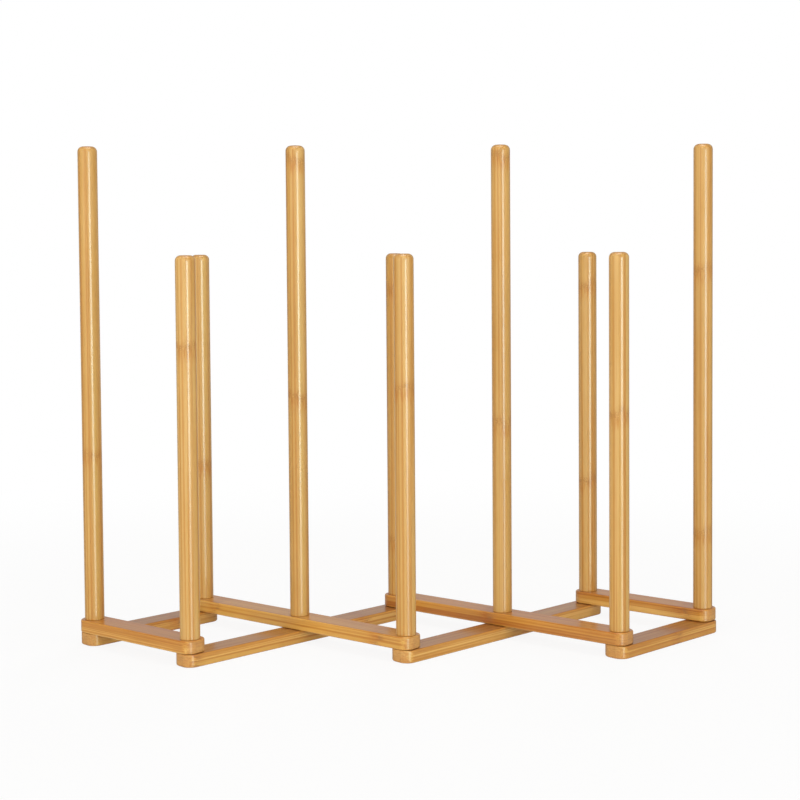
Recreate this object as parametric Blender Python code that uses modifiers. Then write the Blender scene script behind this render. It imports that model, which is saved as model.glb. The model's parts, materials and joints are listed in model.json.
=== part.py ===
"""Expandable bamboo peg rack: a lazy-tongs base of eight bars that carries ten upright pegs.

The bars lie in two layers and cross or meet at ten pivots. Each pivot is a peg: its spigot is
glued in the upper bar, turns in the lower bar, and is held from below by a washer and a screw
in the lower bar's counterbore. The rack stands on the undersides of its lower bars, with its
length along X and its front towards -Y. Metres, +Z up, origin at the middle of the base on the
surface that the rack stands on.
"""

import math

import bmesh
import bpy
from mathutils import Matrix

# ---- driving dimensions -------------------------------------------------------------------
PITCH = 0.128  # from one hole of a bar to the next
BAR_ANGLE = math.radians(41.4)  # between each bar and the rack's length, as the rack is set
BAR_WIDTH = 0.0248
BAR_THICKNESS = 0.0116
BAR_OVERHANG = 0.0111  # from the last hole's centre to the end of the bar
BAR_CORNER = 0.0097  # radius of the end's corners, seen from above
EDGE_ROUND = 0.0012
GAP = 0.0003  # running clearance between pieces that touch

PEG_DIAMETER = 0.018
TALL_PEG = 0.4405  # above its shoulder
SHORT_PEG = 0.3395
PEG_TOP_ROUND = 0.005
PEG_FOOT_CHAMFER = 0.0005
SPIGOT_DIAMETER = 0.010
PILOT_DIAMETER = 0.0046  # the screw's hole, with room for the thread that isn't modelled
PILOT_DEPTH = 0.034  # up from the spigot's end

WASHER_DIAMETER = 0.015
WASHER_HOLE = 0.0050
WASHER_THICKNESS = 0.0010
COUNTERBORE_DIAMETER = 0.016

SCREW_DIAMETER = 0.0040
SCREW_LENGTH = 0.032  # under its head
SCREW_POINT_LENGTH = 0.004
SCREW_POINT_DIAMETER = 0.0006
SCREW_HEAD_DIAMETER = 0.0090
SCREW_HEAD_HEIGHT = 0.0024
SCREW_HEAD_ROUND = 0.0012
SCREW_HEAD_SUNK = 0.0005  # below the lower bar's underside, so that it never meets the table
RECESS_SPAN = 0.0048
RECESS_ROOT_WIDTH = 0.0014
RECESS_TIP_WIDTH = 0.0009
RECESS_DEPTH = 0.0014

# ---- heights that follow from them, above the surface that the rack stands on --------------
UPPER_BAR_Z = BAR_THICKNESS + GAP
SHOULDER_Z = UPPER_BAR_Z + BAR_THICKNESS + GAP
WASHER_Z = SCREW_HEAD_SUNK + SCREW_HEAD_HEIGHT + GAP
SPIGOT_END_Z = WASHER_Z + WASHER_THICKNESS + GAP
COUNTERBORE_Z = SPIGOT_END_Z + GAP
HOLE_DIAMETER = SPIGOT_DIAMETER + 2 * GAP
CUT_PAST = 0.002  # how far a cutter runs past the face that it opens

# ---- how finely round shapes are cut ------------------------------------------------------
PEG_SIDES = 32
SCREW_SIDES = 20
CORNER_STEPS = 6
TOP_ROUND_STEPS = 4
HEAD_ROUND_STEPS = 2
EDGE_STEPS = 2
MERGE_DISTANCE = 1e-6
SMOOTH_BELOW = math.radians(35)

# Pivots on a grid of half diamonds: (steps along X, steps along Y, height of the peg).
PIVOTS = {
    "left_end": (-3, 0, TALL_PEG),
    "left_crossing": (-1, 0, TALL_PEG),
    "right_crossing": (1, 0, TALL_PEG),
    "right_end": (3, 0, TALL_PEG),
    "front_left": (-2, -1, SHORT_PEG),
    "front_centre": (0, -1, SHORT_PEG),
    "front_right": (2, -1, SHORT_PEG),
    "back_left": (-2, 1, SHORT_PEG),
    "back_centre": (0, 1, SHORT_PEG),
    "back_right": (2, 1, SHORT_PEG),
}

# Bars, each with the pivot that it turns on and all its pivots from left to right.
UPPER_BARS = {
    "upper_bar_left_end": ("front_left", ("left_end", "front_left")),
    "upper_bar_left": ("left_crossing", ("back_left", "left_crossing", "front_centre")),
    "upper_bar_right": ("back_centre", ("back_centre", "right_crossing", "front_right")),
    "upper_bar_right_end": ("back_right", ("back_right", "right_end")),
}
LOWER_BARS = {
    "lower_bar_left_end": ("back_left", ("left_end", "back_left")),
    "lower_bar_left": ("left_crossing", ("front_left", "left_crossing", "back_centre")),
    "lower_bar_right": ("right_crossing", ("front_centre", "right_crossing", "back_right")),
    "lower_bar_right_end": ("front_right", ("front_right", "right_end")),
}

# Finishes: (name, colour, roughness, metallic).
BAR_BAMBOO = ("bar_bamboo", (0.60, 0.36, 0.15), 0.38, 0.0)
PEG_BAMBOO = ("peg_bamboo", (0.68, 0.42, 0.18), 0.30, 0.0)
ZINC_STEEL = ("zinc_steel", (0.62, 0.62, 0.60), 0.35, 1.0)


# ---- scene and helpers --------------------------------------------------------------------
def clear_scene():
    """Remove what the start-up scene holds."""
    for old in list(bpy.data.objects):
        bpy.data.objects.remove(old, do_unlink=True)


def new_collection(name):
    """A new collection in the scene."""
    made = bpy.data.collections.new(name)
    bpy.context.scene.collection.children.link(made)
    return made


def principled(name, colour, roughness, metallic):
    """The Principled material of this name, made the first time that it is asked for."""
    material = bpy.data.materials.get(name)
    if material is None:
        material = bpy.data.materials.new(name)
        material.use_nodes = True
        shader = material.node_tree.nodes["Principled BSDF"]
        shader.inputs["Base Color"].default_value = (*colour, 1.0)
        shader.inputs["Roughness"].default_value = roughness
        shader.inputs["Metallic"].default_value = metallic
    return material


def place(name, mesh, where, finish=None):
    """An object of this mesh in the collection where, with its finish."""
    made = bpy.data.objects.new(name, mesh)
    if finish and not mesh.materials:
        mesh.materials.append(principled(*finish))
    where.objects.link(made)
    return made


def arc(centre, radius, start, end, steps):
    """Points of an arc in a plane, from the angle start to the angle end in degrees."""
    angles = [math.radians(start + (end - start) * k / steps) for k in range(steps + 1)]
    return [(centre[0] + radius * math.cos(a), centre[1] + radius * math.sin(a)) for a in angles]


def turned(name, profile, sides, where, finish=None, ring=False):
    """A piece turned on Z from (radius, height) points that run down its outer side.

    The profile of a ring closes on itself; any other starts and ends on the axis.
    """
    mesh = bpy.data.meshes.new(name)
    last = len(profile) - 1
    edges = [(k, k + 1) for k in range(last)]
    if ring:
        edges.append((last, 0))
    mesh.from_pydata([(radius, 0, height) for radius, height in profile], edges, [])
    made = place(name, mesh, where, finish)
    spin = made.modifiers.new("turn", "SCREW")
    spin.axis = "Z"
    spin.angle = math.tau
    spin.steps = spin.render_steps = sides
    spin.use_merge_vertices = True
    spin.merge_threshold = MERGE_DISTANCE
    spin.use_smooth_shade = True
    return made


def plate_mesh(name, outline, thickness):
    """A flat plate of this outline, from Z 0 up to its thickness."""
    curve = bpy.data.curves.new(name, "CURVE")
    curve.dimensions = "2D"
    curve.fill_mode = "BOTH"
    curve.extrude = thickness / 2
    spline = curve.splines.new("POLY")
    spline.points.add(len(outline) - 1)
    for point, (x, y) in zip(spline.points, outline):
        point.co = (x, y, 0, 1)
    spline.use_cyclic_u = True
    drawn = bpy.data.objects.new(name, curve)
    bpy.context.scene.collection.objects.link(drawn)
    graph = bpy.context.evaluated_depsgraph_get()
    mesh = bpy.data.meshes.new_from_object(drawn.evaluated_get(graph))
    bpy.data.objects.remove(drawn)
    bpy.data.curves.remove(curve)
    shape = bmesh.new()
    shape.from_mesh(mesh)
    bmesh.ops.remove_doubles(shape, verts=shape.verts, dist=MERGE_DISTANCE)
    bmesh.ops.recalc_face_normals(shape, faces=shape.faces)
    bmesh.ops.translate(shape, verts=shape.verts, vec=(0, 0, thickness / 2))
    shape.to_mesh(mesh)
    shape.free()
    mesh.shade_smooth()
    mesh.set_sharp_from_angle(angle=SMOOTH_BELOW)
    return mesh


def subtract(target, cutter):
    """Cut one object from another, and keep the cutter out of renders as a wire."""
    cutter.hide_render = True
    cutter.display_type = "WIRE"
    cut = target.modifiers.new(cutter.name, "BOOLEAN")
    cut.operation = "DIFFERENCE"
    cut.solver = "EXACT"
    cut.object = cutter


# ---- bars ---------------------------------------------------------------------------------
def bar_outline(first, last):
    """The bar seen from above, along X: a straight strip with rounded corners at both ends."""
    corner_x = BAR_OVERHANG - BAR_CORNER
    corner_y = BAR_WIDTH / 2 - BAR_CORNER
    corners = (
        ((last + corner_x, -corner_y), -90),
        ((last + corner_x, corner_y), 0),
        ((first - corner_x, corner_y), 90),
        ((first - corner_x, -corner_y), 180),
    )
    return [
        point
        for centre, start in corners
        for point in arc(centre, BAR_CORNER, start, start + 90, CORNER_STEPS)
    ]


def drill(name, bar, distances, diameter, bottom, top, cutters):
    """Cut a round hole of this diameter at each distance along a bar, from bottom up to top."""
    shape = bmesh.new()
    for distance in distances:
        bmesh.ops.create_cone(
            shape,
            cap_ends=True,
            segments=PEG_SIDES,
            radius1=diameter / 2,
            radius2=diameter / 2,
            depth=top - bottom,
            matrix=Matrix.Translation((distance, 0, (bottom + top) / 2)),
        )
    mesh = bpy.data.meshes.new(name)
    shape.to_mesh(mesh)
    shape.free()
    cutter = place(name, mesh, cutters)
    cutter.parent = bar
    subtract(bar, cutter)


def make_bar(name, turns_on, pivots, angle, height, parts, cutters):
    """One bar, with its origin on the pivot that it turns on.

    Returns the bar and, for each of its pivots, the distance along the bar from its origin.
    """
    own = pivots.index(turns_on)
    distances = {pivot: (k - own) * PITCH for k, pivot in enumerate(pivots)}
    outline = bar_outline(min(distances.values()), max(distances.values()))
    bar = place(name, plate_mesh(name, outline, BAR_THICKNESS), parts, BAR_BAMBOO)
    edge = bar.modifiers.new("rounded_edges", "BEVEL")
    edge.width = EDGE_ROUND
    edge.segments = EDGE_STEPS
    edge.limit_method = "ANGLE"
    edge.angle_limit = math.radians(60)
    steps_x, steps_y, _ = PIVOTS[turns_on]
    bar.location.x = steps_x * PITCH * math.cos(BAR_ANGLE)
    bar.location.y = steps_y * PITCH * math.sin(BAR_ANGLE)
    bar.location.z = height
    bar.rotation_euler.z = angle
    past_top = BAR_THICKNESS + CUT_PAST
    drill(name + "_holes", bar, distances.values(), HOLE_DIAMETER, -CUT_PAST, past_top, cutters)
    return bar, distances


def make_lower_bar(name, turns_on, pivots, parts, cutters):
    """A lower bar, with a counterbore for a washer and a screw's head under each hole."""
    bar, distances = make_bar(name, turns_on, pivots, BAR_ANGLE, 0, parts, cutters)
    drill(
        name + "_counterbores",
        bar,
        distances.values(),
        COUNTERBORE_DIAMETER,
        -CUT_PAST,
        COUNTERBORE_Z,
        cutters,
    )


# ---- pegs, washers and screws ------------------------------------------------------------
def peg_profile(height):
    """Down the outside of a peg from its rounded top to its spigot, then up its pilot hole."""
    outer = PEG_DIAMETER / 2
    top = SHOULDER_Z + height
    round_centre = (outer - PEG_TOP_ROUND, top - PEG_TOP_ROUND)
    pilot = PILOT_DIAMETER / 2
    pilot_end = SPIGOT_END_Z + PILOT_DEPTH
    return [
        (0, top),
        *arc(round_centre, PEG_TOP_ROUND, 90, 0, TOP_ROUND_STEPS),
        (outer, SHOULDER_Z + PEG_FOOT_CHAMFER),
        (outer - PEG_FOOT_CHAMFER, SHOULDER_Z),
        (SPIGOT_DIAMETER / 2, SHOULDER_Z),
        (SPIGOT_DIAMETER / 2, SPIGOT_END_Z),
        (pilot, SPIGOT_END_Z),
        (pilot, pilot_end),
        (0, pilot_end + pilot),
    ]


def washer_profile():
    """Round the section of a flat washer that lies at its place in the counterbore."""
    outer = WASHER_DIAMETER / 2
    inner = WASHER_HOLE / 2
    top = WASHER_Z + WASHER_THICKNESS
    return [(outer, top), (outer, WASHER_Z), (inner, WASHER_Z), (inner, top)]


def screw_profile():
    """Down the outside of a pan-head screw that stands on its head with its point up."""
    shank = SCREW_DIAMETER / 2
    under_head = SCREW_HEAD_SUNK + SCREW_HEAD_HEIGHT
    tip = under_head + SCREW_LENGTH
    head = SCREW_HEAD_DIAMETER / 2
    round_centre = (head - SCREW_HEAD_ROUND, SCREW_HEAD_SUNK + SCREW_HEAD_ROUND)
    return [
        (0, tip),
        (SCREW_POINT_DIAMETER / 2, tip),
        (shank, tip - SCREW_POINT_LENGTH),
        (shank, under_head),
        (head, under_head),
        *arc(round_centre, SCREW_HEAD_ROUND, 0, -90, HEAD_ROUND_STEPS),
        (0, SCREW_HEAD_SUNK),
    ]


def cross_outline():
    """The cross recess in a screw's head, seen along the screw."""
    span = RECESS_SPAN / 2
    root = RECESS_ROOT_WIDTH / 2
    tip = RECESS_TIP_WIDTH / 2
    corner = ((span, -tip), (span, tip), (root, root))
    outline = []
    for quarter in range(4):
        c = round(math.cos(quarter * math.pi / 2))
        s = round(math.sin(quarter * math.pi / 2))
        outline += [(c * x - s * y, s * x + c * y) for x, y in corner]
    return outline


def make_pivot(pivot, bar, distance, cross, parts, cutters):
    """The peg, washer and screw of one pivot, all carried by the upper bar."""
    height = PIVOTS[pivot][2]
    size = "tall" if height == TALL_PEG else "short"
    peg = turned(f"{size}_peg_{pivot}", peg_profile(height), PEG_SIDES, parts, PEG_BAMBOO)
    washer = turned(
        f"washer_{pivot}", washer_profile(), SCREW_SIDES, parts, ZINC_STEEL, ring=True
    )
    screw = turned(f"screw_{pivot}", screw_profile(), SCREW_SIDES, parts, ZINC_STEEL)
    recess = place(f"recess_{pivot}", cross, cutters)
    recess.parent = screw
    recess.location.z = SCREW_HEAD_SUNK - CUT_PAST
    subtract(screw, recess)
    for piece in (peg, washer, screw):
        piece.parent = bar
        piece.location = (distance, 0, -UPPER_BAR_Z)


def main():
    """Build the rack: the lower bars, then each upper bar with the pegs that it carries."""
    clear_scene()
    parts = new_collection("peg_rack")
    cutters = new_collection("cutters")
    for name, (turns_on, pivots) in LOWER_BARS.items():
        make_lower_bar(name, turns_on, pivots, parts, cutters)
    cross = plate_mesh("cross_recess", cross_outline(), CUT_PAST + RECESS_DEPTH)
    for name, (turns_on, pivots) in UPPER_BARS.items():
        bar, distances = make_bar(
            name, turns_on, pivots, -BAR_ANGLE, UPPER_BAR_Z, parts, cutters
        )
        for pivot, distance in distances.items():
            make_pivot(pivot, bar, distance, cross, parts, cutters)


main()
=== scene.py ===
"""Looks of the expandable bamboo peg rack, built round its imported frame.

Eight laminated bamboo bars and ten turned bamboo pegs take the places of their CAD solids, with
rounder edges and a lacquered bamboo finish of their own. The washers and screws keep their CAD
shape and get a zinc finish. Metres, +Z up, and the front of the rack is towards -Y.
"""

import json
import logging
import math
from dataclasses import dataclass, field, replace
from enum import Enum
from typing import Iterable, Sequence, Union

import bmesh
import bpy
from mathutils import Euler, Matrix, Vector


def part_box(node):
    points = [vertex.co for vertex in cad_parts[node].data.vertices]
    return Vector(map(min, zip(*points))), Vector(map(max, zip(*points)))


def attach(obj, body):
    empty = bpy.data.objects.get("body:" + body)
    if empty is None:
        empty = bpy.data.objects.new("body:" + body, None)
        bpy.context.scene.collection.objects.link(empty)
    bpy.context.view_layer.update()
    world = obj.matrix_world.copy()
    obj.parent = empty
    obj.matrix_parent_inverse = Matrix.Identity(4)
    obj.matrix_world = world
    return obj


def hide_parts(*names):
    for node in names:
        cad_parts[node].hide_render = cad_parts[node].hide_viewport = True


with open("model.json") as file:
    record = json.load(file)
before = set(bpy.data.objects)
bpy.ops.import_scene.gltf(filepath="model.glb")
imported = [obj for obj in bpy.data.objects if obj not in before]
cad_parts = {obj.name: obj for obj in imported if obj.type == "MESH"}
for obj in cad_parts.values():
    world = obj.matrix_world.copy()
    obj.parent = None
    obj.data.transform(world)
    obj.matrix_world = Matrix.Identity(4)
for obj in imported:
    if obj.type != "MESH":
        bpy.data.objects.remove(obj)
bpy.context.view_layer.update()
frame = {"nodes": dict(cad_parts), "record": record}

LOG = logging.getLogger("peg_rack")
MM = 0.001

Socket = bpy.types.NodeSocket
Value = Union[float, Socket]
Colour = tuple[float, float, float]
Span = tuple[float, float]
Point2 = tuple[float, float]
Point3 = tuple[float, float, float]


# ---- a short way to write shader nodes ----------------------------------------------------
class Graph:
    """The node tree of one material or world, with a method for each kind of node used here."""

    def __init__(self, tree: bpy.types.NodeTree) -> None:
        """Start on an empty tree.

        Args:
            tree: The tree to fill; what it holds is removed.
        """
        self.tree = tree
        tree.nodes.clear()

    def add(self, kind: str, **settings: object) -> bpy.types.Node:
        """Add a node and set its own properties.

        Args:
            kind: The node's type name without its ShaderNode prefix.
            settings: The node's properties by name.

        Returns:
            The new node.
        """
        node = self.tree.nodes.new("ShaderNode" + kind)
        for name, value in settings.items():
            setattr(node, name, value)
        return node

    def feed(self, target: Socket, value: object) -> None:
        """Set an input socket to a constant, or link another socket to it.

        Args:
            target: The input socket.
            value: A number, a colour, a vector or an output socket.
        """
        if isinstance(value, bpy.types.NodeSocket):
            self.tree.links.new(value, target)
        elif target.type == "RGBA":
            target.default_value = (*value, 1.0)
        else:
            target.default_value = value

    def math(self, operation: str, *values: Value, clamp: bool = False) -> Socket:
        """One Math node.

        Args:
            operation: The name of the operation.
            values: Its inputs, in order.
            clamp: Whether to keep the result between 0 and 1.

        Returns:
            The node's output.
        """
        node = self.add("Math", operation=operation, use_clamp=clamp)
        for target, value in zip(node.inputs, values):
            self.feed(target, value)
        return node.outputs[0]

    def ramp(self, value: Value, low: float, high: float, smooth: bool = True) -> Socket:
        """Rise from 0 at low to 1 at high; low may be the larger of the two.

        Args:
            value: What is measured.
            low: Where the result is 0.
            high: Where the result is 1.
            smooth: Whether to ease in and out.

        Returns:
            The result, kept between 0 and 1.
        """
        kind = "SMOOTHSTEP" if smooth else "LINEAR"
        node = self.add("MapRange", interpolation_type=kind)
        for name, number in (("Value", value), ("From Min", low), ("From Max", high)):
            self.feed(node.inputs[name], number)
        return node.outputs[0]

    def bell(self, value: Value, width: float) -> Socket:
        """A smooth peak of height 1 where value is 0.

        Args:
            value: Distance from the peak's middle.
            width: Distance at which the peak has fallen to about a third.

        Returns:
            The peak's height.
        """
        scaled = self.math("DIVIDE", value, width)
        square = self.math("MULTIPLY", scaled, scaled)
        return self.math("EXPONENT", self.math("MULTIPLY", square, -1.0))

    def mix(self, factor: Value, first: object, second: object, blend: str = "MIX") -> Socket:
        """Mix two colours.

        Args:
            factor: How much of the second colour shows.
            first: A colour or a socket.
            second: A colour or a socket.
            blend: The way that they mix.

        Returns:
            The mixed colour.
        """
        node = self.add("Mix", data_type="RGBA", blend_type=blend)
        self.feed(node.inputs[0], factor)
        self.feed(node.inputs[6], first)
        self.feed(node.inputs[7], second)
        return node.outputs[2]

    def vector(self, x: Value, y: Value, z: Value) -> Socket:
        """Join three numbers into a vector."""
        node = self.add("CombineXYZ")
        for target, value in zip(node.inputs, (x, y, z)):
            self.feed(target, value)
        return node.outputs[0]

    def split(self, vector: Socket) -> tuple[Socket, Socket, Socket]:
        """Split a vector into its three numbers."""
        node = self.add("SeparateXYZ")
        self.feed(node.inputs[0], vector)
        return node.outputs[0], node.outputs[1], node.outputs[2]

    def noise(self, vector: Socket, scale: float, detail: float = 2.0, rough: float = 0.5) -> Socket:
        """Smooth noise, about 0.5 on average.

        Args:
            vector: Where it is read.
            scale: How many lumps there are in one unit of vector.
            detail: How many finer layers it has.
            rough: How strong the finer layers are.

        Returns:
            The noise's value.
        """
        node = self.add("TexNoise")
        self.feed(node.inputs["Vector"], vector)
        self.feed(node.inputs["Scale"], scale)
        self.feed(node.inputs["Detail"], detail)
        self.feed(node.inputs["Roughness"], rough)
        return node.outputs["Fac"]

    def drawn_out(self, along: Socket, squeeze: float, across: Value, through: Value) -> Socket:
        """A place to read noise at, squeezed along the grain so that the noise is drawn out.

        Args:
            along: The place along the grain.
            squeeze: What it is multiplied by.
            across: The place across the grain.
            through: The place through the strips.

        Returns:
            The place as one vector.
        """
        return self.vector(self.math("MULTIPLY", along, squeeze), across, through)

    def bump(self, height: Socket, strength: float, distance: float) -> Socket:
        """Tilt the surface as a height says.

        Args:
            height: The height.
            strength: How much of the tilt shows.
            distance: The real height in metres where height is 1.

        Returns:
            The tilted normal.
        """
        node = self.add("Bump")
        self.feed(node.inputs["Strength"], strength)
        self.feed(node.inputs["Distance"], distance)
        self.feed(node.inputs["Height"], height)
        return node.outputs[0]

    def chance(self, number: Value) -> Socket:
        """A number between 0 and 1 that depends only on this number."""
        node = self.add("TexWhiteNoise", noise_dimensions="1D")
        self.feed(node.inputs["W"], number)
        return node.outputs["Value"]


# ---- finishes -----------------------------------------------------------------------------
class Ply(Enum):
    """Tones of a bamboo strip, from its pale inside to steamed brown. Values are linear colours."""

    PALE = (0.745, 0.475, 0.165)
    HONEY = (0.680, 0.402, 0.114)
    AMBER = (0.610, 0.310, 0.068)
    TOFFEE = (0.545, 0.262, 0.062)


class Grain(Enum):
    """The way that a piece's fibres run."""

    LEVEL = "level"
    UPRIGHT = "upright"


@dataclass(frozen=True)
class Cut:
    """How one piece is cut from laminated bamboo, with lengths in millimetres.

    Attributes:
        grain: The way that its fibres run.
        tones: A level piece's lower and upper ply, or the range of an upright piece's strips.
        strip: A strip's thickness.
        knuckle: The place of one knuckle along the grain.
        spacing: The length from one knuckle to the next.
        seed: Sets the piece's pattern apart.
        turn: The angle in radians about Z of a bar's length, or of the way through a peg's strips.
    """

    grain: Grain
    tones: tuple[Ply, Ply]
    strip: float
    knuckle: float
    spacing: float
    seed: float
    turn: float


@dataclass(frozen=True)
class Spot:
    """Where a surface point lies in the bamboo, as sockets, with lengths in millimetres.

    Attributes:
        along: Its place along the grain.
        across: Its place over the strips' width.
        through: Its place through the strips' thickness.
        broad: How much the surface faces up or down there, which sets the painted light or shade on those
            faces.
        end: How much the surface faces along the grain there.
        stack: Its place through the strips, counted in strips.
        number: The number of its strip.
        pick: Its strip's own random number, from 0 to 1.
        shifted: Its place along the grain, with each strip's pattern moved along it.
    """

    along: Socket
    across: Socket
    through: Socket
    broad: Socket
    end: Socket
    stack: Socket
    number: Socket
    pick: Socket
    shifted: Socket


@dataclass(frozen=True)
class Pattern:
    """Sizes of bamboo's pattern, where a pair of numbers is where something starts and is full.

    Knuckle sizes, the pitch and the shift are in millimetres, scales in lumps to the millimetre,
    and the first strip, the plies' blur and the glue line's width in strips. A squeeze multiplies a
    point's place along the grain, which draws the noise out that way.
    """

    first_strip: float = 40.0
    strip_shift: float = 900.0
    ply_blur: float = 0.015
    glue_width: float = 0.026
    # Where the painted light or shade on faces that face up or down starts and is full.
    broad_face_painted_shading: Span = (0.50, 0.95)
    end_face: Span = (0.35, 0.85)
    fibre_squeeze: float = 0.012
    fibre_pitch: float = 0.60
    dark_fibres: Span = (0.50, 0.74)
    streak_squeeze: float = 0.004
    streak_scale: float = 0.38
    dark_streaks: Span = (0.47, 0.63)
    pale_streaks: Span = (0.48, 0.30)
    drift_squeeze: float = 0.02
    drift_scale: float = 0.60
    drifts: Span = (0.30, 0.75)
    vessel_scale: float = 1.5
    vessels: Span = (0.52, 0.66)
    layer_squeeze: float = 0.10
    layer_scale: float = 0.90
    layers: Span = (0.48, 0.62)
    knuckle_scatter: float = 6.0
    curl_scale: float = 0.50
    curl_width: float = 0.075
    curl_reach: float = 3.8
    fleck_reach: float = 3.2
    thread_squeeze: float = 0.10
    thread_scale: float = 0.85
    dark_threads: Span = (0.50, 0.66)
    blush_threads: Span = (0.40, 0.60)
    blush_before: float = 5.0
    blush_reach: float = 8.0
    ripple_squeeze: float = 0.03
    ripple_scale: float = 0.35


@dataclass(frozen=True)
class LacqueredBamboo:
    """Laminated bamboo under clear lacquer: strips, fibres, knuckles and end grain, with painted light or
    shade on the faces that face up or down.
    """

    stain: Colour
    # Painted light or shade multiplied into the faces that face up or down, so these look lit or shaded.
    broad_face_painted_shading: Colour = (1.0, 1.0, 1.0)
    scar: Colour = (0.340, 0.150, 0.038)
    blush: Colour = (0.84, 0.62, 0.34)
    streak: Colour = (0.90, 0.77, 0.54)
    straw: Colour = (0.97, 1.03, 0.96)
    drift: Colour = (0.95, 0.89, 0.76)
    fibre: Colour = (0.76, 0.60, 0.40)
    glue: Colour = (0.66, 0.50, 0.32)
    end_grain: Colour = (0.580, 0.283, 0.078)
    fibre_strength: float = 0.42
    curl_strength: float = 0.60
    fleck_strength: float = 0.26
    blush_strength: float = 0.70
    least_blush: float = 0.10
    glue_strength: float = 0.55
    end_strength: float = 0.65
    layer_strength: float = 0.35
    vessel_strength: float = 0.30
    lacquer: float = 0.85
    lacquer_roughness: float = 0.18
    lacquer_ior: float = 1.65
    wood_ior: float = 1.5
    wood_roughness: float = 0.42
    fibre_roughness: float = 0.22
    end_roughness: float = 0.12
    relief: float = 0.0004
    fibre_depth: float = 0.5
    ripple_height: float = 0.3
    knuckle_height: float = 0.5
    grain_bump: float = 0.05
    lacquer_bump: float = 0.004
    pattern: Pattern = Pattern()

    def dress(self, piece: bpy.types.Object, cut: Cut) -> None:
        """Make this piece's bamboo and put it on.

        Args:
            piece: The piece, whose own axes the pattern follows.
            cut: How it is cut.
        """
        material = bpy.data.materials.new(piece.name + "_bamboo")
        material.use_nodes = True
        graph = Graph(material.node_tree)
        spot = self.locate(graph, cut)
        place = graph.vector(spot.along, spot.across, spot.through)
        fine = graph.drawn_out(spot.shifted, self.pattern.fibre_squeeze, spot.across, spot.through)
        fibres = graph.noise(fine, 1 / self.pattern.fibre_pitch, detail=3.0, rough=0.6)
        away = self.from_knuckle(graph, spot, cut)
        scars, blush, swell = self.knuckles(graph, spot, place, away)

        colour = self.strips(graph, spot, cut)
        colour = self.grained(graph, spot, cut, colour, fibres)
        colour = graph.mix(blush, colour, self.blush, "MULTIPLY")
        colour = graph.mix(scars, colour, self.scar)
        end_colour = self.end_colour(graph, spot, place)
        colour = graph.mix(graph.math("MULTIPLY", spot.end, self.end_strength), colour, end_colour)
        self.lacquered(graph, spot, colour, fibres, swell)
        piece.data.materials.clear()
        piece.data.materials.append(material)

    def locate(self, graph: Graph, cut: Cut) -> Spot:
        """Find where each point of the surface lies in the bamboo.

        Args:
            graph: The material's nodes.
            cut: How the piece is cut.

        Returns:
            The point's place.
        """
        coordinates = graph.add("TexCoord")
        metres = graph.split(coordinates.outputs["Object"])
        x, y, z = (graph.math("MULTIPLY", axis, 1 / MM) for axis in metres)
        normal_x, normal_y, normal_z = graph.split(coordinates.outputs["Normal"])
        cos, sin = math.cos(cut.turn), math.sin(cut.turn)
        ahead = graph.math("ADD", graph.math("MULTIPLY", x, cos), graph.math("MULTIPLY", y, sin))
        across = graph.math("SUBTRACT", graph.math("MULTIPLY", y, cos), graph.math("MULTIPLY", x, sin))
        if cut.grain is Grain.UPRIGHT:
            along, through, lengthwise = z, ahead, normal_z
            first = self.pattern.first_strip + cut.seed % 1
            stack = graph.math("ADD", graph.math("DIVIDE", through, cut.strip), first)
        else:
            along, through = ahead, z
            lengthwise = graph.math("MULTIPLY_ADD", normal_x, cos, graph.math("MULTIPLY", normal_y, sin))
            stack = graph.math("DIVIDE", through, cut.strip)
        number = graph.math("FLOOR", stack)
        pick = graph.chance(graph.math("ADD", number, cut.seed))
        return Spot(
            along=along,
            across=across,
            through=through,
            broad=graph.ramp(graph.math("ABSOLUTE", normal_z), *self.pattern.broad_face_painted_shading),
            end=graph.ramp(graph.math("ABSOLUTE", lengthwise), *self.pattern.end_face),
            stack=stack,
            number=number,
            pick=pick,
            shifted=graph.math("ADD", along, graph.math("MULTIPLY", pick, self.pattern.strip_shift)),
        )

    def strips(self, graph: Graph, spot: Spot, cut: Cut) -> Socket:
        """Give each strip its stained tone, with painted light or shade on the faces that face up or down.

        Args:
            graph: The material's nodes.
            spot: The point's place.
            cut: How the piece is cut.

        Returns:
            The colour.
        """
        second = spot.pick
        if cut.grain is Grain.LEVEL:
            second = graph.ramp(spot.stack, 1 - self.pattern.ply_blur, 1 + self.pattern.ply_blur)
        tone = graph.mix(second, cut.tones[0].value, cut.tones[1].value)
        tone = graph.mix(1.0, tone, self.stain, "MULTIPLY")
        # Painted light or shade: faces that face up or down are made lighter or darker in colour.
        return graph.mix(spot.broad, tone, self.broad_face_painted_shading, "MULTIPLY")

    def grained(self, graph: Graph, spot: Spot, cut: Cut, tone: Socket, fibres: Socket) -> Socket:
        """Add streaks, slow drifts, dark fibres and glue lines.

        Args:
            graph: The material's nodes.
            spot: The point's place.
            cut: How the piece is cut.
            tone: The strips' colour.
            fibres: The fibres' noise.

        Returns:
            The colour with its grain.
        """
        sizes = self.pattern
        long_lumps = graph.drawn_out(spot.shifted, sizes.streak_squeeze, spot.across, spot.through)
        streaks = graph.noise(long_lumps, sizes.streak_scale)
        one_strip = graph.drawn_out(spot.shifted, sizes.drift_squeeze, spot.number, cut.seed)
        drift = graph.noise(one_strip, sizes.drift_scale)
        colour = graph.mix(graph.ramp(streaks, *sizes.dark_streaks), tone, self.streak, "MULTIPLY")
        colour = graph.mix(graph.ramp(streaks, *sizes.pale_streaks), colour, self.straw, "MULTIPLY")
        colour = graph.mix(graph.ramp(drift, *sizes.drifts), colour, self.drift, "MULTIPLY")
        dark = graph.math("MULTIPLY", graph.ramp(fibres, *sizes.dark_fibres), self.fibre_strength)
        colour = graph.mix(dark, colour, self.fibre, "MULTIPLY")
        from_glue = graph.math("PINGPONG", spot.stack, 0.5)
        glue = graph.math("MULTIPLY", graph.ramp(from_glue, sizes.glue_width, 0.0), self.glue_strength)
        return graph.mix(glue, colour, self.glue, "MULTIPLY")

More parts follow.
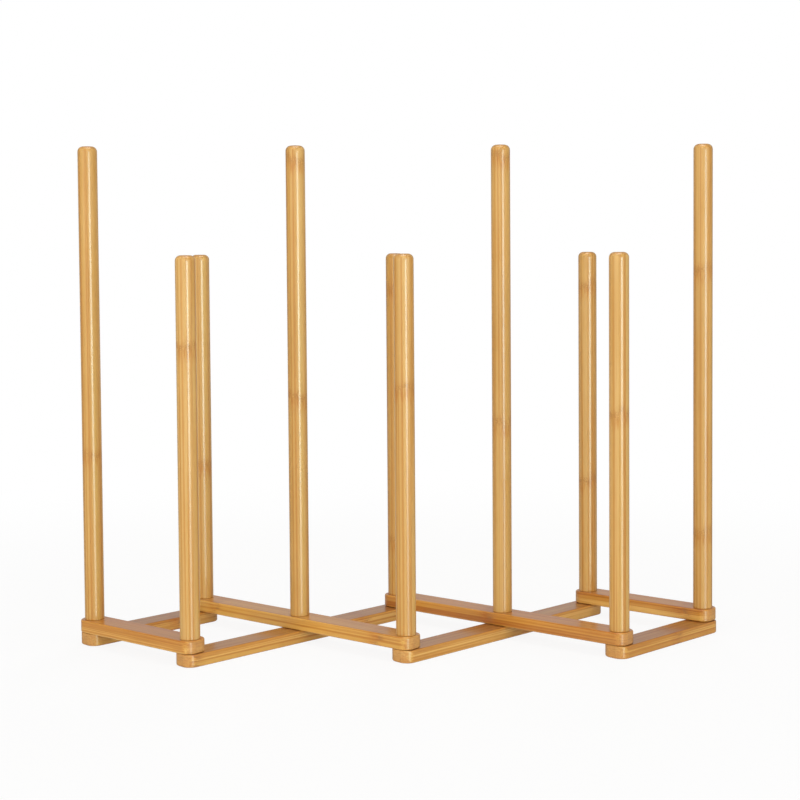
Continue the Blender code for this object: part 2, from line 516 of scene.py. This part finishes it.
    def end_colour(self, graph: Graph, spot: Spot, place: Socket) -> Socket:
        """The colour of an end cut across the fibres: dark layers and vessels.

        Args:
            graph: The material's nodes.
            spot: The point's place.
            place: The same place as one vector.

        Returns:
            The colour.
        """
        sizes = self.pattern
        vessels = graph.ramp(graph.noise(place, sizes.vessel_scale, detail=1.0), *sizes.vessels)
        side = graph.math("MULTIPLY", spot.across, sizes.layer_squeeze)
        flat = graph.drawn_out(spot.along, sizes.layer_squeeze, side, spot.through)
        layers = graph.ramp(graph.noise(flat, sizes.layer_scale), *sizes.layers)
        dark = graph.math("MULTIPLY", vessels, self.vessel_strength)
        dark = graph.math("MULTIPLY_ADD", layers, self.layer_strength, dark)
        return graph.mix(dark, self.end_grain, self.scar)

    def from_knuckle(self, graph: Graph, spot: Spot, cut: Cut) -> Socket:
        """Millimetres along the grain from the strip's nearest knuckle.

        Args:
            graph: The material's nodes.
            spot: The point's place.
            cut: How the piece is cut.

        Returns:
            The distance, negative before the knuckle.
        """
        off_middle = graph.math("SUBTRACT", spot.pick, 0.5)
        scatter = graph.math("MULTIPLY", off_middle, self.pattern.knuckle_scatter)
        # Half a spacing puts a knuckle mid-way round the wrap; ten whole ones keep it positive.
        start = graph.math("ADD", graph.math("ADD", spot.along, scatter), cut.spacing * 10.5 - cut.knuckle)
        return graph.math("SUBTRACT", graph.math("WRAP", start, cut.spacing, 0.0), cut.spacing / 2)

    def knuckles(
        self, graph: Graph, spot: Spot, place: Socket, away: Socket
    ) -> tuple[Socket, Socket, Socket]:
        """The scars where the cane had its partitions: short curly lines, flecks and a warm blush.

        Args:
            graph: The material's nodes.
            spot: The point's place.
            place: The same place as one vector.
            away: Millimetres along the grain from the knuckle.

        Returns:
            How much scar shows, how much blush, and how far the surface swells.
        """
        sizes = self.pattern
        off_line = graph.math("SUBTRACT", graph.noise(place, sizes.curl_scale, detail=1.0), 0.5)
        curls = graph.bell(off_line, sizes.curl_width)
        curls = graph.math("MULTIPLY", curls, graph.bell(away, sizes.curl_reach))
        long_lumps = graph.drawn_out(spot.along, sizes.thread_squeeze, spot.across, spot.through)
        threads = graph.noise(long_lumps, sizes.thread_scale)
        near = graph.bell(away, sizes.fleck_reach)
        flecks = graph.math("MULTIPLY", near, graph.ramp(threads, *sizes.dark_threads))
        scars = graph.math("MULTIPLY", curls, self.curl_strength)
        scars = graph.math("MULTIPLY_ADD", flecks, self.fleck_strength, scars, clamp=True)
        warm = graph.ramp(threads, *sizes.blush_threads)
        warm = graph.math("MULTIPLY_ADD", warm, self.blush_strength, self.least_blush)
        blush = graph.bell(graph.math("ADD", away, sizes.blush_before), sizes.blush_reach)
        blush = graph.math("MULTIPLY", blush, warm)
        return scars, blush, graph.math("MULTIPLY", near, self.knuckle_height)

    def lacquered(
        self, graph: Graph, spot: Spot, colour: Socket, fibres: Socket, swell: Socket
    ) -> None:
        """Lay clear lacquer over the wood, with a faint relief in both.

        Args:
            graph: The material's nodes.
            spot: The point's place.
            colour: The wood's colour.
            fibres: The fibres' noise.
            swell: How far the surface swells at a knuckle.
        """
        least_rough = self.wood_roughness - self.fibre_roughness / 2
        rough = graph.math("MULTIPLY_ADD", fibres, self.fibre_roughness, least_rough)
        rough = graph.math("MULTIPLY_ADD", spot.end, self.end_roughness, rough)
        shader = graph.add("BsdfPrincipled")
        graph.feed(shader.inputs["Base Color"], colour)
        graph.feed(shader.inputs["Roughness"], rough)
        graph.feed(shader.inputs["IOR"], self.wood_ior)
        graph.feed(shader.inputs["Coat Weight"], self.lacquer)
        graph.feed(shader.inputs["Coat Roughness"], self.lacquer_roughness)
        graph.feed(shader.inputs["Coat IOR"], self.lacquer_ior)
        waves = graph.drawn_out(spot.along, self.pattern.ripple_squeeze, spot.across, spot.through)
        ripple = graph.noise(waves, self.pattern.ripple_scale)
        height = graph.math("MULTIPLY_ADD", ripple, self.ripple_height, swell)
        height = graph.math("MULTIPLY_ADD", fibres, -self.fibre_depth, height)
        for target, strength in (("Normal", self.grain_bump), ("Coat Normal", self.lacquer_bump)):
            graph.feed(shader.inputs[target], graph.bump(height, strength, self.relief))
        output = graph.add("OutputMaterial")
        graph.feed(output.inputs["Surface"], shader.outputs[0])


@dataclass(frozen=True)
class ZincPlate:
    """Bright zinc on steel, with faint clouds, duller and rougher, and fine scratches.

    Scales are in lumps to the metre.
    """

    bright: Colour = (0.66, 0.67, 0.68)
    dull: Colour = (0.42, 0.42, 0.41)
    least_roughness: float = 0.14
    cloud_roughness: float = 0.30
    cloud_scale: float = 420.0
    clouds: Span = (0.42, 0.70)
    scratch_scale: float = 2600.0
    scratch_strength: float = 0.12
    scratch_depth: float = 0.00005

    def material(self) -> bpy.types.Material:
        """Make the finish.

        Returns:
            A material that all washers and screws share.
        """
        material = bpy.data.materials.new("zinc_plate")
        material.use_nodes = True
        graph = Graph(material.node_tree)
        place = graph.add("TexCoord").outputs["Object"]
        clouds = graph.noise(place, self.cloud_scale, detail=3.0)
        scratches = graph.noise(place, self.scratch_scale, rough=0.7)
        tone = graph.mix(graph.ramp(clouds, *self.clouds), self.bright, self.dull)
        rough = graph.math("MULTIPLY_ADD", clouds, self.cloud_roughness, self.least_roughness)
        shader = graph.add("BsdfPrincipled")
        graph.feed(shader.inputs["Metallic"], 1.0)
        graph.feed(shader.inputs["Base Color"], tone)
        graph.feed(shader.inputs["Roughness"], rough)
        bump = graph.bump(scratches, self.scratch_strength, self.scratch_depth)
        graph.feed(shader.inputs["Normal"], bump)
        output = graph.add("OutputMaterial")
        graph.feed(output.inputs["Surface"], shader.outputs[0])
        return material


# ---- mesh helpers -------------------------------------------------------------------------
SMOOTH_BELOW = math.radians(40)


def new_piece(name: str, mesh: bpy.types.Mesh) -> bpy.types.Object:
    """Add an object of this mesh to the scene.

    Args:
        name: The piece's name.
        mesh: Its mesh.

    Returns:
        The object.
    """
    piece = bpy.data.objects.new(name, mesh)
    bpy.context.scene.collection.objects.link(piece)
    return piece


def arc(centre: Point2, radius: float, start: float, end: float, steps: int) -> list[Point2]:
    """Points of an arc in a plane.

    Args:
        centre: The arc's centre.
        radius: Its radius.
        start: Its first angle in degrees.
        end: Its last angle in degrees.
        steps: How many straight steps it has.

    Returns:
        The points, from start to end.
    """
    angles = [math.radians(start + (end - start) * k / steps) for k in range(steps + 1)]
    return [(centre[0] + radius * math.cos(a), centre[1] + radius * math.sin(a)) for a in angles]


def turned_mesh(name: str, profile: Sequence[Point2], sides: int) -> bpy.types.Mesh:
    """Turn a profile about Z.

    Args:
        name: The mesh's name.
        profile: Points (radius, height) from the axis at the top, down the outside, to the axis.
        sides: How many sides the round has.

    Returns:
        A closed mesh, smooth where the profile is.
    """
    shape = bmesh.new()
    rings = []
    for radius, height in profile:
        if radius == 0:
            rings.append([shape.verts.new((0, 0, height))] * sides)
            continue
        angles = (math.tau * k / sides for k in range(sides))
        points = ((radius * math.cos(a), radius * math.sin(a), height) for a in angles)
        rings.append([shape.verts.new(point) for point in points])
    for high, low in zip(rings, rings[1:]):
        for k in range(sides):
            corners = (high[k], low[k], low[k - sides + 1], high[k - sides + 1])
            shape.faces.new(list(dict.fromkeys(corners)))
    bmesh.ops.recalc_face_normals(shape, faces=shape.faces)
    mesh = bpy.data.meshes.new(name)
    shape.to_mesh(mesh)
    shape.free()
    mesh.shade_smooth()
    mesh.set_sharp_from_angle(angle=SMOOTH_BELOW)
    return mesh


def apply_modifiers(piece: bpy.types.Object) -> None:
    """Turn a piece's modifiers into plain mesh.

    Args:
        piece: The piece, whose mesh is replaced.
    """
    graph = bpy.context.evaluated_depsgraph_get()
    mesh = bpy.data.meshes.new_from_object(piece.evaluated_get(graph), depsgraph=graph)
    piece.modifiers.clear()
    piece.data = mesh


# ---- the frame's pivots ---------------------------------------------------------------------
def pivot_place(pivot: str) -> Vector:
    """Where a pivot's axis stands at rest.

    Args:
        pivot: The pivot's name.

    Returns:
        The point on the axis at the height of the surface that the rack stands on.
    """
    low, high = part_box("screw_" + pivot)
    return Vector(((low.x + high.x) / 2, (low.y + high.y) / 2, 0))


def body_of(node: str) -> str:
    """The body that carries a CAD node.

    Args:
        node: The node's name.

    Returns:
        The body's name.
    """
    bodies = frame["record"]["behaviour"]["bodies"]
    return next(body for body, nodes in bodies.items() if node in nodes)


# ---- bars ---------------------------------------------------------------------------------
@dataclass
class Bar:
    """A flat bamboo bar of two plies, with round corners, soft edges and a hole at each pivot.

    Attributes:
        node: The CAD node whose place it takes.
        pivots: The pivots along it, evenly spaced.
        plies: The tones of its lower and upper ply.
        knuckle: The place of one knuckle, from the first pivot.
        seed: Sets its pattern apart.
        counterbored: Whether its holes are wider underneath, for washers and screw heads.
        knuckle_spacing: The length from one knuckle to the next.
        overhang: How far it runs past its first and last pivots.
        drill_past: How far a drill runs out of it.
    """

    node: str
    pivots: tuple[str, ...]
    plies: tuple[Ply, Ply]
    knuckle: float
    seed: float
    counterbored: bool = False
    knuckle_spacing: float = 0.205
    width: float = 0.0248
    overhang: float = 0.0111
    corner: float = 0.0097
    edge_round: float = 0.0013
    hole: float = 0.0106
    counterbore: float = 0.016
    counterbore_depth: float = 0.0048
    drill_past: float = 0.002
    corner_steps: int = 12
    edge_steps: int = 4
    hole_sides: int = 48
    thickness: float = field(init=False)
    bottom: float = field(init=False)
    angle: float = field(init=False)

    def __post_init__(self) -> None:
        """Read the bar's thickness, height and direction from the frame."""
        low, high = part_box(self.node)
        self.thickness = high.z - low.z
        self.bottom = low.z
        way = pivot_place(self.pivots[-1]) - pivot_place(self.pivots[0])
        self.angle = math.atan2(way.y, way.x)

    def outline(self, length: float) -> list[Point2]:
        """The bar from above, along X from its first hole at 0.

        Args:
            length: From the first hole to the last.

        Returns:
            The outline's points, counter-clockwise.
        """
        in_x = self.overhang - self.corner
        in_y = self.width / 2 - self.corner
        centres = ((length + in_x, -in_y), (length + in_x, in_y), (-in_x, in_y), (-in_x, -in_y))
        points: list[Point2] = []
        for quarter, centre in enumerate(centres):
            start = 90 * (quarter - 1)
            points += arc(centre, self.corner, start, start + 90, self.corner_steps)
        return points

    def blank(self, length: float) -> bpy.types.Mesh:
        """The bar before it is drilled.

        Args:
            length: From the first hole to the last.

        Returns:
            A closed mesh with rounded rims.
        """
        shape = bmesh.new()
        base = shape.faces.new([shape.verts.new((x, y, 0)) for x, y in self.outline(length)])
        raised = bmesh.ops.extrude_face_region(shape, geom=[base])
        top = [part for part in raised["geom"] if isinstance(part, bmesh.types.BMVert)]
        bmesh.ops.translate(shape, verts=top, vec=(0, 0, self.thickness))
        bmesh.ops.recalc_face_normals(shape, faces=shape.faces)
        middle = self.thickness / 2
        rims = [
            edge
            for edge in shape.edges
            if (edge.verts[0].co.z < middle) == (edge.verts[1].co.z < middle)
        ]
        bmesh.ops.bevel(
            shape,
            geom=rims,
            offset=self.edge_round,
            segments=self.edge_steps,
            profile=0.5,
            affect="EDGES",
        )
        mesh = bpy.data.meshes.new(self.node + "_bamboo")
        shape.to_mesh(mesh)
        shape.free()
        return mesh

    def drill(self, piece: bpy.types.Object, places: Iterable[float], hole: float, top: float) -> None:
        """Cut a round hole at each place along the bar, from below its underside up to top.

        Args:
            piece: The bar.
            places: Distances along it.
            hole: The hole's diameter.
            top: The hole's upper end.
        """
        mesh = bpy.data.meshes.new("drill")
        shape = bmesh.new()
        for place in places:
            made = bmesh.ops.create_cone(
                shape,
                cap_ends=True,
                segments=self.hole_sides,
                radius1=hole / 2,
                radius2=hole / 2,
                depth=top + self.drill_past,
            )
            middle = (top - self.drill_past) / 2
            bmesh.ops.translate(shape, verts=made["verts"], vec=(place, 0, middle))
        shape.to_mesh(mesh)
        shape.free()
        drill = new_piece("drill", mesh)
        cut = piece.modifiers.new("drill", "BOOLEAN")
        cut.operation = "DIFFERENCE"
        cut.object = drill
        apply_modifiers(piece)
        bpy.data.objects.remove(drill)

    def build(self) -> bpy.types.Object:
        """Shape the bar and lay it on its pivots.

        Returns:
            The bar.
        """
        first, last = pivot_place(self.pivots[0]), pivot_place(self.pivots[-1])
        length = (last - first).length
        steps = len(self.pivots) - 1
        places = [length * k / steps for k in range(len(self.pivots))]
        piece = new_piece(self.node + "_bamboo", self.blank(length))
        self.drill(piece, places, self.hole, self.thickness + self.drill_past)
        if self.counterbored:
            self.drill(piece, places, self.counterbore, self.counterbore_depth)
        piece.data.transform(Matrix.Rotation(self.angle, 4, "Z"))
        piece.data.shade_smooth()
        piece.data.set_sharp_from_angle(angle=SMOOTH_BELOW)
        shading = piece.modifiers.new("shading", "WEIGHTED_NORMAL")
        shading.keep_sharp = True
        piece.location = (first.x, first.y, self.bottom)
        return piece

    def dress(self, piece: bpy.types.Object, bamboo: LacqueredBamboo) -> None:
        """Finish the bar in bamboo and put it in its CAD node's place.

        Args:
            piece: The bar.
            bamboo: Its finish.
        """
        cut = Cut(
            grain=Grain.LEVEL,
            tones=self.plies,
            strip=self.thickness / 2 / MM,
            knuckle=self.knuckle / MM,
            spacing=self.knuckle_spacing / MM,
            seed=self.seed,
            turn=self.angle,
        )
        bamboo.dress(piece, cut)
        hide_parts(self.node)
        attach(piece, body_of(self.node))


# ---- pegs ---------------------------------------------------------------------------------
@dataclass
class Peg:
    """A turned bamboo peg with a rounded top, a chamfered foot and a spigot for its pivot.

    Attributes:
        node: The CAD node whose place it takes.
        pivot: The pivot that it stands on.
        tones: The range that its strips' tones are picked from.
        knuckle: The height of one knuckle.
        seed: Sets its pattern apart.
        turn: The angle in radians from X to the way through its strips.
        knuckle_spacing: The length from one knuckle to the next.
        spigot: The diameter of its lower end, which turns in the bars' holes.
        pilot: The diameter of the screw's hole, which runs up pilot_depth to a pointed end.
        strip: The thickness of the strips that it is turned from.
    """

    node: str
    pivot: str
    tones: tuple[Ply, Ply]
    knuckle: float
    seed: float
    turn: float
    knuckle_spacing: float = 0.250
    diameter: float = 0.018
    top_round: float = 0.005
    foot_chamfer: float = 0.0003
    spigot: float = 0.010
    pilot: float = 0.0046
    pilot_depth: float = 0.034
    strip: float = 0.0066
    sides: int = 64
    round_steps: int = 9

    def profile(self, shoulder: float) -> list[Point2]:
        """Down the outside of the peg and up its pilot hole.

        Args:
            shoulder: The height of the peg's shoulder on the upper bar.

        Returns:
            Points (radius, height).
        """
        low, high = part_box(self.node)
        outer = self.diameter / 2
        pilot = self.pilot / 2
        pilot_end = low.z + self.pilot_depth
        centre = (outer - self.top_round, high.z - self.top_round)
        # The ring just under the rounding keeps the long side's shading straight.
        return [
            (0, high.z),
            *arc(centre, self.top_round, 90, 0, self.round_steps),
            (outer, centre[1] - MM),
            (outer, shoulder + self.foot_chamfer),
            (outer - self.foot_chamfer, shoulder),
            (self.spigot / 2, shoulder),
            (self.spigot / 2, low.z),
            (pilot, low.z),
            (pilot, pilot_end),
            (0, pilot_end + pilot),
        ]

    def build(self, shoulder: float) -> bpy.types.Object:
        """Turn the peg and stand it on its pivot.

        Args:
            shoulder: The height of the peg's shoulder on the upper bar.

        Returns:
            The peg.
        """
        name = self.node + "_bamboo"
        piece = new_piece(name, turned_mesh(name, self.profile(shoulder), self.sides))
        piece.location = pivot_place(self.pivot)
        return piece

    def dress(self, piece: bpy.types.Object, bamboo: LacqueredBamboo) -> None:
        """Finish the peg in bamboo and put it in its CAD node's place.

        Args:
            piece: The peg.
            bamboo: Its finish.
        """
        cut = Cut(
            grain=Grain.UPRIGHT,
            tones=self.tones,
            strip=self.strip / MM,
            knuckle=self.knuckle / MM,
            spacing=self.knuckle_spacing / MM,
            seed=self.seed,
            turn=self.turn,
        )
        bamboo.dress(piece, cut)
        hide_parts(self.node)
        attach(piece, body_of(self.node))


# ---- sub-assemblies -------------------------------------------------------------------------
@dataclass
class LazyTongs:
    """The folding base: four upper bars on four lower ones, with a finish for each layer, so that each
    layer has its own painted light or shade on its broad faces.
    """

    upper: LacqueredBamboo
    lower: LacqueredBamboo
    bars: tuple[Bar, ...] = field(
        default_factory=lambda: (
            Bar(
                "lower_bar_left_end",
                ("left_end", "back_left"),
                (Ply.HONEY, Ply.HONEY),
                knuckle=0.090,
                seed=3.1,
                counterbored=True,
            ),
            Bar(
                "lower_bar_left",
                ("front_left", "left_crossing", "back_centre"),
                (Ply.HONEY, Ply.PALE),
                knuckle=0.205,
                seed=5.7,
                counterbored=True,
            ),
            Bar(
                "lower_bar_right",
                ("front_centre", "right_crossing", "back_right"),
                (Ply.HONEY, Ply.PALE),
                knuckle=0.150,
                seed=8.3,
                counterbored=True,
            ),
            Bar(
                "lower_bar_right_end",
                ("front_right", "right_end"),
                (Ply.AMBER, Ply.HONEY),
                knuckle=0.075,
                seed=11.9,
                counterbored=True,
            ),
            Bar(
                "upper_bar_left_end",
                ("left_end", "front_left"),
                (Ply.PALE, Ply.AMBER),
                knuckle=0.160,
                seed=14.2,
            ),
            Bar(
                "upper_bar_left",
                ("back_left", "left_crossing", "front_centre"),
                (Ply.HONEY, Ply.HONEY),
                knuckle=0.028,
                seed=17.4,
            ),
            Bar(
                "upper_bar_right",
                ("back_centre", "right_crossing", "front_right"),
                (Ply.TOFFEE, Ply.AMBER),
                knuckle=0.120,
                seed=21.6,
            ),
            Bar(
                "upper_bar_right_end",
                ("back_right", "right_end"),
                (Ply.PALE, Ply.AMBER),
                knuckle=0.118,
                seed=26.5,
            ),
        )
    )

    def build(self) -> None:
        """Make and finish every bar."""
        for bar in self.bars:
            piece = bar.build()
            bar.dress(piece, self.lower if bar.counterbored else self.upper)
            LOG.info("%s: %d faces", piece.name, len(piece.data.polygons))


@dataclass
class PegSet:
    """The ten upright pegs: tall ones on the rack's middle line, short ones at front and back.

    Their shoulders stand clear of the upper bars by the gap.
    """

    bamboo: LacqueredBamboo
    gap: float = 0.00005
    pegs: tuple[Peg, ...] = field(
        default_factory=lambda: (
            Peg("tall_peg_left_end", "left_end", (Ply.PALE, Ply.HONEY), 0.181, 31.2, 0.15, 0.300),
            Peg("tall_peg_left_crossing", "left_crossing", (Ply.HONEY, Ply.PALE), 0.231, 35.9, 0.05, 0.220),
            Peg("tall_peg_right_crossing", "right_crossing", (Ply.PALE, Ply.HONEY), 0.204, 38.4, 0.30),
            Peg("tall_peg_right_end", "right_end", (Ply.HONEY, Ply.PALE), 0.097, 42.7, -0.20),
            Peg("short_peg_front_left", "front_left", (Ply.PALE, Ply.PALE), 0.282, 46.1, -0.05, 0.300),
            Peg("short_peg_front_centre", "front_centre", (Ply.PALE, Ply.HONEY), 0.245, 51.3, 0.00),
            Peg("short_peg_front_right", "front_right", (Ply.HONEY, Ply.PALE), 0.220, 55.6, 0.25),
            Peg("short_peg_back_left", "back_left", (Ply.HONEY, Ply.PALE), 0.159, 58.8, 0.10),
            Peg("short_peg_back_centre", "back_centre", (Ply.HONEY, Ply.HONEY), 0.082, 63.4, -0.30),
            Peg("short_peg_back_right", "back_right", (Ply.HONEY, Ply.PALE), 0.138, 67.2, 0.20, 0.194),
        )
    )

    def build(self) -> None:
        """Make and finish every peg."""
        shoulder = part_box("upper_bar_left")[1].z + self.gap
        for peg in self.pegs:
            piece = peg.build(shoulder)
            peg.dress(piece, self.bamboo)
            LOG.info("%s: %d faces", piece.name, len(piece.data.polygons))


@dataclass
class Fixings:
    """The washers and screws under the lower bars, which keep their CAD shape."""

    zinc: ZincPlate

    def build(self) -> None:
        """Finish every washer and screw."""
        material = self.zinc.material()
        for name, node in frame["nodes"].items():
            if name.startswith(("washer_", "screw_")):
                node.data.materials.clear()
                node.data.materials.append(material)
                LOG.info("%s: zinc", name)


# ---- studio -------------------------------------------------------------------------------
# A cool tint for the long lights, which warm lacquer mirrors as nearly white.
DAYLIGHT: Colour = (0.72, 1.0, 0.98)


@dataclass(frozen=True)
class SoftBox:
    """A rectangular soft light that faces a point.

    Attributes:
        name: The light's name.
        place: Its middle.
        aim: The point that it faces.
        width: Its size from side to side.
        height: Its size from bottom to top.
        radiance: How bright its face is.
        shows_in_gloss: Whether glossy surfaces mirror it.
        tint: Its colour.
    """

    name: str
    place: Point3
    aim: Point3
    width: float
    height: float
    radiance: float
    shows_in_gloss: bool = False
    tint: Colour = (1.0, 1.0, 1.0)

    def build(self) -> bpy.types.Object:
        """Hang the light.

        Returns:
            The light.
        """
        data = bpy.data.lights.new(self.name, "AREA")
        data.shape = "RECTANGLE"
        data.size = self.width
        data.size_y = self.height
        data.energy = self.radiance * math.pi * self.width * self.height
        data.color = self.tint
        light = bpy.data.objects.new(self.name, data)
        light.location = self.place
        way = Vector(self.aim) - Vector(self.place)
        light.rotation_euler = way.to_track_quat("-Z", "Y").to_euler()
        light.visible_glossy = self.shows_in_gloss
        bpy.context.scene.collection.objects.link(light)
        return light


@dataclass(frozen=True)
class Viewpoint:
    """The camera: its lens and sensor in millimetres, its place, and its angles in degrees."""

    lens: float = 71.34
    sensor: float = 36.0
    shift: float = -0.0976
    place: Point3 = (-0.0710, -1.4853, 0.3660)
    angles: Point3 = (87.42, 0.43, -2.78)

    def build(self) -> bpy.types.Object:
        """Stand the camera in front of the rack, a little to its left and above it.

        Returns:
            The camera.
        """
        data = bpy.data.cameras.new("camera")
        data.lens = self.lens
        data.sensor_width = self.sensor
        data.shift_y = self.shift
        camera = bpy.data.objects.new("camera", data)
        camera.location = self.place
        camera.rotation_euler = Euler([math.radians(angle) for angle in self.angles])
        bpy.context.scene.collection.objects.link(camera)
        bpy.context.scene.camera = camera
        return camera


@dataclass
class Studio:
    """A white floor and surround, soft boxes and the camera.

    Attributes:
        boxes: The lights.
        viewpoint: The camera.
        surround: How bright the surround is as a light.
        surround_tint: Its colour.
        back_glow: How much brighter it is behind the rack.
        back_edge: Where that glow starts and is full, along Y of a unit ball.
        floor_white: How white the floor's paint is.
        floor_size: The length of its sides.
        floor_lift: How much of the shade near the rack is painted out.
        shade_reach: How far from the middle the floor turns plain white.
    """

    boxes: tuple[SoftBox, ...] = (
        SoftBox("strip", (2.52, -6.0, -0.4), (0, 0, -0.4), 2.2, 3.0, 3.6, True, DAYLIGHT),
        SoftBox("strip_core", (2.48, -5.9, 0.1), (0, 0, 0.1), 2.0, 1.5, 3.8, True, DAYLIGHT),
        SoftBox("fill_front", (0.0, -2.9, 1.5), (0, 0, 0.2), 2.0, 1.6, 3.3),
        SoftBox("fill_left", (-2.3, -2.4, 1.0), (0, 0, 0.2), 2.2, 2.2, 3.5),
        SoftBox("fill_right", (2.8, -2.2, 0.9), (0, 0, 0.2), 2.0, 1.8, 2.7),
        SoftBox("fill_back", (0.9, 2.8, 1.1), (0, 0, 0.2), 2.0, 2.0, 3.6),
        SoftBox("top", (0.0, -0.2, 2.4), (0, 0, 0), 1.4, 1.0, 3.3, True),
    )
    viewpoint: Viewpoint = Viewpoint()
    surround: float = 0.28
    surround_tint: Colour = (1.0, 0.96, 0.90)
    back_glow: float = 0.22
    back_edge: Span = (0.75, 0.95)
    floor_white: float = 0.86
    floor_size: float = 40.0
    floor_lift: float = 0.88
    shade_reach: float = 1.1

    def world(self) -> None:
        """Set the surround: white to the camera, and a dim light with a glow behind the rack."""
        world = bpy.data.worlds.new("surround")
        bpy.context.scene.world = world
        world.use_nodes = True
        graph = Graph(world.node_tree)
        _, back, _ = graph.split(graph.add("TexCoord").outputs["Generated"])
        behind = graph.ramp(back, *self.back_edge)
        glow = graph.math("MULTIPLY_ADD", behind, self.back_glow, self.surround)
        ambient = graph.add("Background")
        graph.feed(ambient.inputs["Color"], self.surround_tint)
        graph.feed(ambient.inputs["Strength"], glow)
        seen = graph.add("Background")
        graph.feed(seen.inputs["Color"], (1.0, 1.0, 1.0))
        mixed = graph.add("MixShader")
        graph.feed(mixed.inputs[0], graph.add("LightPath").outputs["Is Camera Ray"])
        graph.feed(mixed.inputs[1], ambient.outputs[0])
        graph.feed(mixed.inputs[2], seen.outputs[0])
        output = graph.add("OutputWorld")
        graph.feed(output.inputs["Surface"], mixed.outputs[0])

    def floor(self) -> None:
        """Lay the pale floor, which takes soft shade near the rack and is plain white beyond."""
        mesh = bpy.data.meshes.new("floor")
        shape = bmesh.new()
        bmesh.ops.create_grid(shape, x_segments=1, y_segments=1, size=self.floor_size / 2)
        shape.to_mesh(mesh)
        shape.free()
        floor = new_piece("floor", mesh)
        material = bpy.data.materials.new("floor_white")
        material.use_nodes = True
        graph = Graph(material.node_tree)
        matt = graph.add("BsdfDiffuse")
        graph.feed(matt.inputs["Color"], (self.floor_white,) * 3)
        white = graph.add("Emission")
        away = graph.add("VectorMath", operation="LENGTH")
        graph.feed(away.inputs[0], graph.add("TexCoord").outputs["Object"])
        far = graph.ramp(away.outputs["Value"], self.shade_reach / 3, self.shade_reach)
        seen = graph.add("LightPath").outputs["Is Camera Ray"]
        plain = graph.math("MULTIPLY_ADD", far, 1 - self.floor_lift, self.floor_lift)
        lift = graph.math("MULTIPLY", seen, plain)
        mixed = graph.add("MixShader")
        graph.feed(mixed.inputs[0], lift)
        graph.feed(mixed.inputs[1], matt.outputs[0])
        graph.feed(mixed.inputs[2], white.outputs[0])
        output = graph.add("OutputMaterial")
        graph.feed(output.inputs["Surface"], mixed.outputs[0])
        mesh.materials.append(material)
        floor.visible_glossy = False

    def build(self) -> None:
        """Set up the floor, the lights and the camera."""
        bpy.context.scene.view_settings.view_transform = "Standard"
        self.viewpoint.build()
        self.world()
        self.floor()
        for box in self.boxes:
            box.build()


def main() -> None:
    """Build the studio and the rack, sub-assembly by sub-assembly."""
    logging.basicConfig(level=logging.INFO, format="%(name)s %(message)s")
    Studio().build()
    upper = LacqueredBamboo(
        stain=(0.985, 0.89, 0.66),
        # Painted light: the upper bars' tops and undersides are made lighter.
        broad_face_painted_shading=(1.11, 1.08, 1.03),
        blush=(0.80, 0.55, 0.28),
        streak=(0.80, 0.62, 0.38),
        fibre_strength=0.85,
        curl_strength=0.30,
        fleck_strength=0.80,
    )
    # Painted shade: the lower bars are a copy of the upper finish whose tops and undersides are made
    # darker.
    lower = replace(upper, broad_face_painted_shading=(0.75, 0.65, 0.71))
    LazyTongs(upper, lower).build()
    pegs = LacqueredBamboo(
        stain=(0.88, 0.82, 0.74),
        streak=(0.85, 0.71, 0.47),
        fibre_strength=0.45,
        scar=(0.430, 0.190, 0.036),
        curl_strength=0.85,
        fleck_strength=0.30,
    )
    PegSet(pegs).build()
    Fixings(ZincPlate()).build()


if __name__ == "__main__":
    main()
